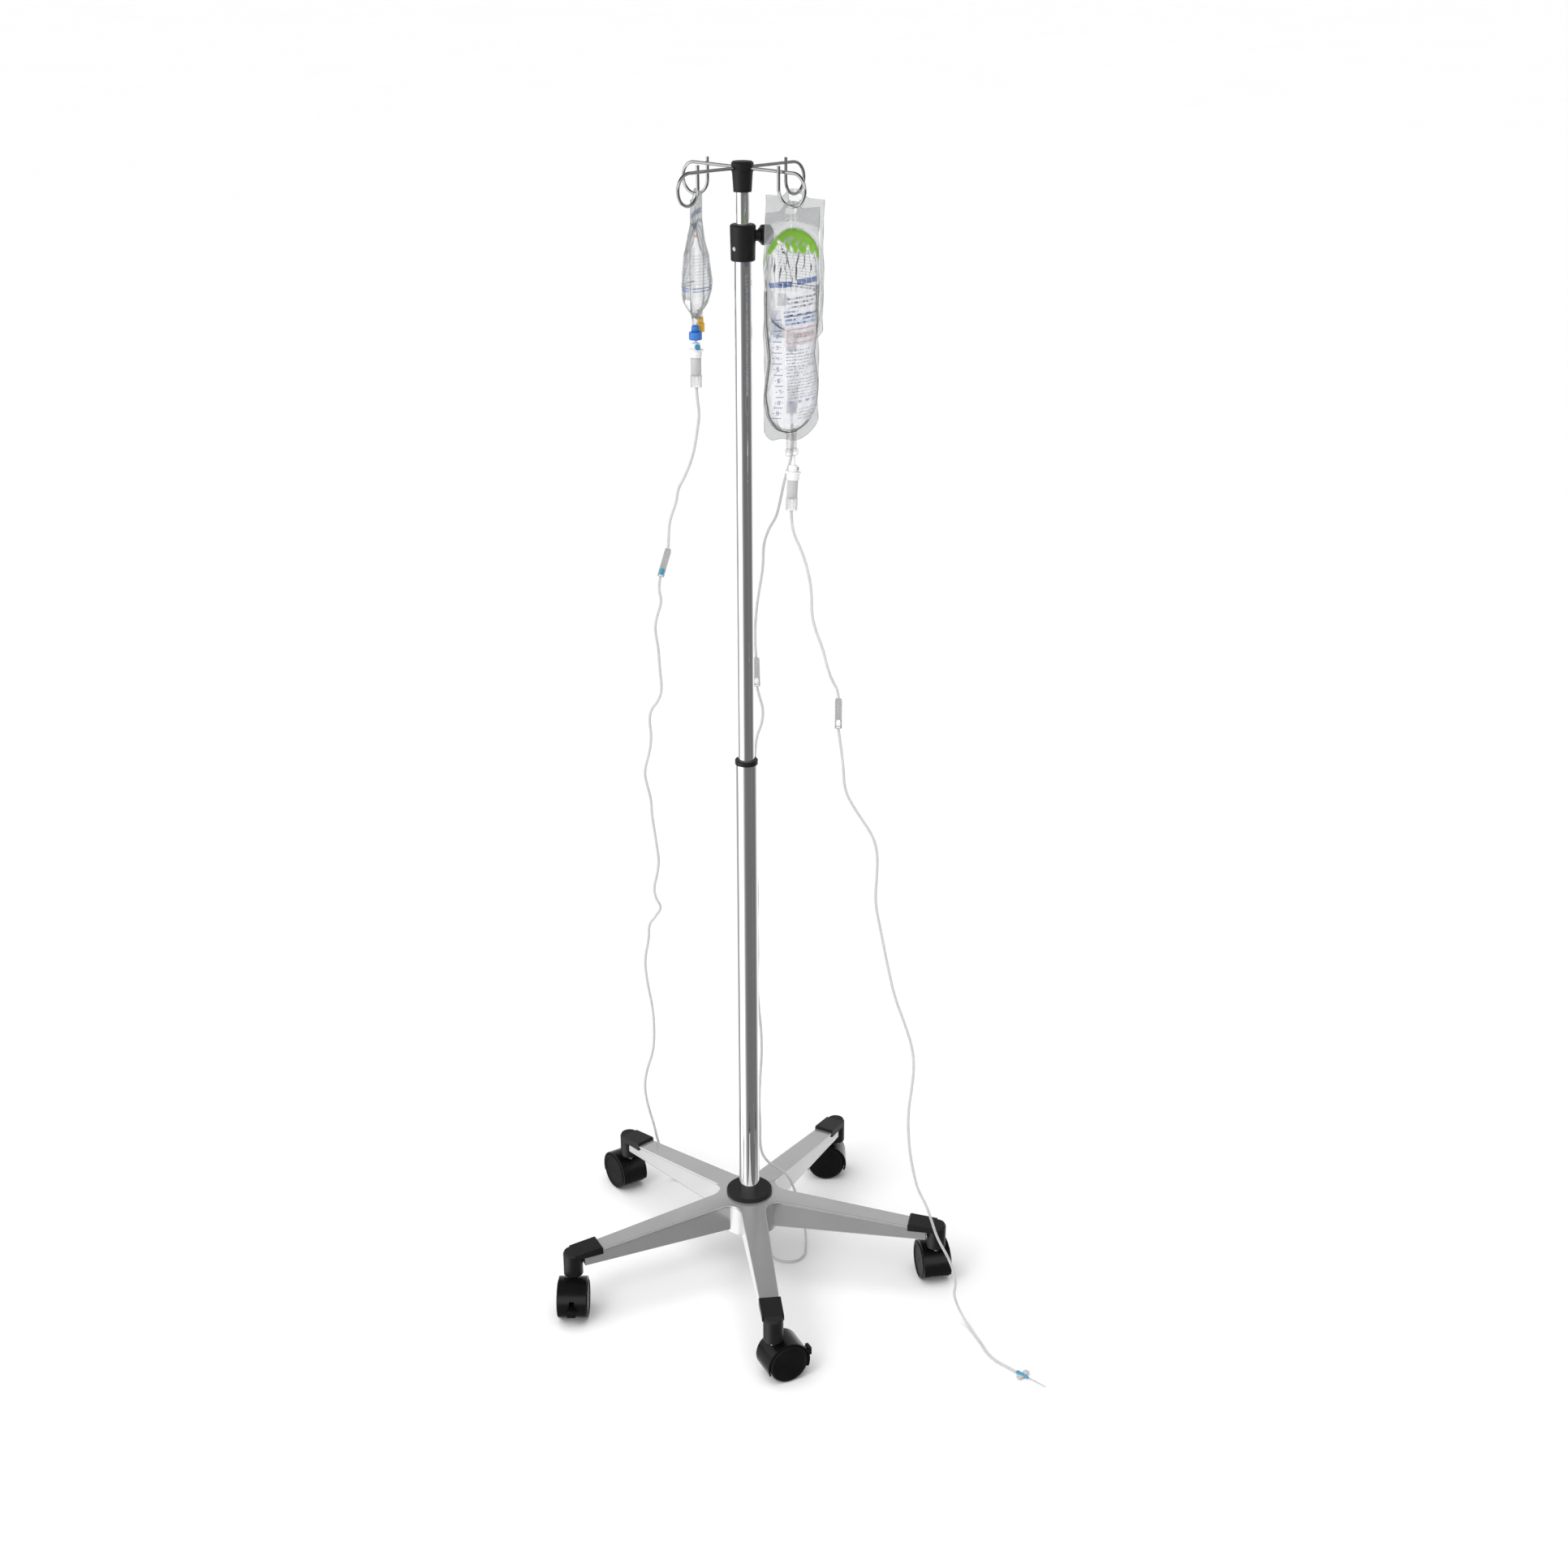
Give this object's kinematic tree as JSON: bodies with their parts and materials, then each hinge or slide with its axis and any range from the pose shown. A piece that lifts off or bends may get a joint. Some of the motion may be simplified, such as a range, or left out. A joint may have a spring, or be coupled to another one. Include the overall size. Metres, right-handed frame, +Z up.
{
  "type": "infusion stand with drip bags",
  "caption": "Wheeled telescopic infusion stand with hooks, hanging drip bags, drip chambers, roller clamps and clear tubing to a winged cannula.",
  "frame": {"origin": "on the floor under the pole's axis", "axes": "+Z up along the pole, +X to the right and +Y away from the viewer, so one hook pair points to the front left and front right"},
  "size_m": [0.7365, 0.6166, 1.717],
  "materials": {
    "cast_aluminium": "satin polished casting",
    "chrome_tube": "bright chrome on steel tube",
    "chrome_wire": "bright chrome",
    "black_plastic": "fine satin moulded",
    "caster_plastic": "glossy nylon",
    "steel": "plated",
    "bag_film": "clear soft film over clear fluid",
    "port_cap": "semi-gloss",
    "chamber": "white cap, clear ribbed barrel",
    "tubing": "clear soft tubing",
    "connector": "semi-gloss",
    "clamp_shell": "translucent white",
    "roller": "semi-gloss blue",
    "cannula": "semi-gloss"
  },
  "bodies": {
    "base": {"base_star": "cast_aluminium", "hub_disc": "black_plastic", "lower_tube": "chrome_tube", "tube_collar": "black_plastic", "middle_tube": "chrome_tube", "clamp_bush": "black_plastic", "height_clamp": "black_plastic", "clamp_rivet": "chrome_wire", "caster_stems": "steel", "tube_end_caps": "connector", "cannula": "cannula", "leg_cap_front": "black_plastic", "leg_cap_right": "black_plastic", "leg_cap_rear_right": "black_plastic", "leg_cap_rear_left": "black_plastic", "leg_cap_left": "black_plastic", "tube_a_lower": "tubing", "tube_b_lower": "tubing", "tube_c_lower": "tubing"},
    "mast": {"top_tube": "chrome_tube", "hook_head": "black_plastic", "hook_front_right": "chrome_wire", "hook_rear_right": "chrome_wire", "hook_rear_left": "chrome_wire", "hook_front_left": "chrome_wire", "tube_a_upper": "tubing", "tube_b_upper": "tubing", "tube_c_upper": "tubing", "roller_clamp_a": "clamp_shell", "roller_clamp_b": "clamp_shell", "roller_clamp_c": "clamp_shell"},
    "lock_knob": {"clamp_knob": "black_plastic", "clamp_screw": "steel"},
    "bag_a": {"bag_a": "bag_film", "drip_chamber_a": "chamber", "port_caps_a": "port_cap"},
    "bag_b": {"bag_b": "bag_film", "drip_chamber_b": "chamber"},
    "bag_c": {"bag_c": "bag_film", "drip_chamber_c": "chamber"},
    "roller_a": {"roller_a": "roller"},
    "roller_b": {"roller_b": "roller"},
    "roller_c": {"roller_c": "roller"},
    "caster_front": {"caster_hood_front": "caster_plastic", "caster_axle_front": "steel"},
    "wheels_front": {"caster_wheels_front": "caster_plastic"},
    "brake_front": {"brake_lever_front": "caster_plastic"},
    "caster_right": {"caster_hood_right": "caster_plastic", "caster_axle_right": "steel"},
    "wheels_right": {"caster_wheels_right": "caster_plastic"},
    "caster_rear_right": {"caster_hood_rear_right": "caster_plastic", "caster_axle_rear_right": "steel"},
    "wheels_rear_right": {"caster_wheels_rear_right": "caster_plastic"},
    "caster_rear_left": {"caster_hood_rear_left": "caster_plastic", "caster_axle_rear_left": "steel"},
    "wheels_rear_left": {"caster_wheels_rear_left": "caster_plastic"},
    "caster_left": {"caster_hood_left": "caster_plastic", "caster_axle_left": "steel"},
    "wheels_left": {"caster_wheels_left": "caster_plastic"},
    "brake_left": {"brake_lever_left": "caster_plastic"}
  },
  "joints": [
    {"name": "mast_height", "type": "slide", "parent": "base", "child": "mast", "axis": [0, 0, 1], "range_m": [0, 0.55]},
    {"name": "knob_turn", "type": "hinge", "parent": "base", "child": "lock_knob", "pos_m": [0.02719, 0.01268, 1.619], "axis": [0.9063, 0.4226, 0], "range_deg": [0, 540]},
    {"name": "bag_a_swing", "type": "hinge", "parent": "mast", "child": "bag_a", "pos_m": [-0.06503, 0.06968, 1.666], "axis": [-0.809, 0.5878, 0], "range_deg": [-12, 12]},
    {"name": "bag_b_swing", "type": "hinge", "parent": "mast", "child": "bag_b", "pos_m": [0.06503, -0.06968, 1.666], "axis": [0.809, -0.5878, 0], "range_deg": [-12, 5]},
    {"name": "bag_c_swing", "type": "hinge", "parent": "mast", "child": "bag_c", "pos_m": [0.06968, 0.06503, 1.666], "axis": [0.5878, 0.809, 0], "range_deg": [-5, 12]},
    {"name": "roller_a_travel", "type": "slide", "parent": "mast", "child": "roller_a", "axis": [0.2866, -0.0717, 0.9554], "range_m": [0, 0.022]},
    {"name": "roller_b_travel", "type": "slide", "parent": "mast", "child": "roller_b", "axis": [0, 0.0238, 0.9997], "range_m": [0, 0.022]},
    {"name": "roller_c_travel", "type": "slide", "parent": "mast", "child": "roller_c", "axis": [-0.0238, 0, 0.9997], "range_m": [0, 0.022]},
    {"name": "caster_front_swivel", "type": "hinge", "parent": "base", "child": "caster_front", "pos_m": [0.03916, -0.29743, 0.06], "axis": [0, 0, 1], "continuous": true},
    {"name": "wheels_front_roll", "type": "hinge", "parent": "caster_front", "child": "wheels_front", "pos_m": [0.05366, -0.29067, 0.03], "axis": [-0.4226, 0.9063, 0], "continuous": true},
    {"name": "brake_front_press", "type": "hinge", "parent": "caster_front", "child": "brake_front", "pos_m": [0.07541, -0.28053, 0.032], "axis": [-0.4226, 0.9063, 0], "range_deg": [0, 20]},
    {"name": "caster_right_swivel", "type": "hinge", "parent": "base", "child": "caster_right", "pos_m": [0.29498, -0.05467, 0.06], "axis": [0, 0, 1], "continuous": true},
    {"name": "wheels_right_roll", "type": "hinge", "parent": "caster_right", "child": "wheels_right", "pos_m": [0.29165, -0.03902, 0.03], "axis": [-0.9781, -0.2079, 0], "continuous": true},
    {"name": "caster_rear_right_swivel", "type": "hinge", "parent": "base", "child": "caster_rear_right", "pos_m": [0.14315, 0.26365, 0.06], "axis": [0, 0, 1], "continuous": true},
    {"name": "wheels_rear_right_roll", "type": "hinge", "parent": "caster_rear_right", "child": "wheels_rear_right", "pos_m": [0.12715, 0.26365, 0.03], "axis": [0, -1, 0], "continuous": true},
    {"name": "caster_rear_left_swivel", "type": "hinge", "parent": "base", "child": "caster_rear_left", "pos_m": [-0.20651, 0.21761, 0.06], "axis": [0, 0, 1], "continuous": true},
    {"name": "wheels_rear_left_roll", "type": "hinge", "parent": "caster_rear_left", "child": "wheels_rear_left", "pos_m": [-0.21568, 0.23072, 0.03], "axis": [-0.8192, -0.5736, 0], "continuous": true},
    {"name": "caster_left_swivel", "type": "hinge", "parent": "base", "child": "caster_left", "pos_m": [-0.27078, -0.12915, 0.06], "axis": [0, 0, 1], "continuous": true},
    {"name": "wheels_left_roll", "type": "hinge", "parent": "caster_left", "child": "wheels_left", "pos_m": [-0.27078, -0.14515, 0.03], "axis": [1, 0, 0], "continuous": true},
    {"name": "brake_left_press", "type": "hinge", "parent": "caster_left", "child": "brake_left", "pos_m": [-0.27078, -0.16915, 0.032], "axis": [1, 0, 0], "range_deg": [0, 20]}
  ]
}
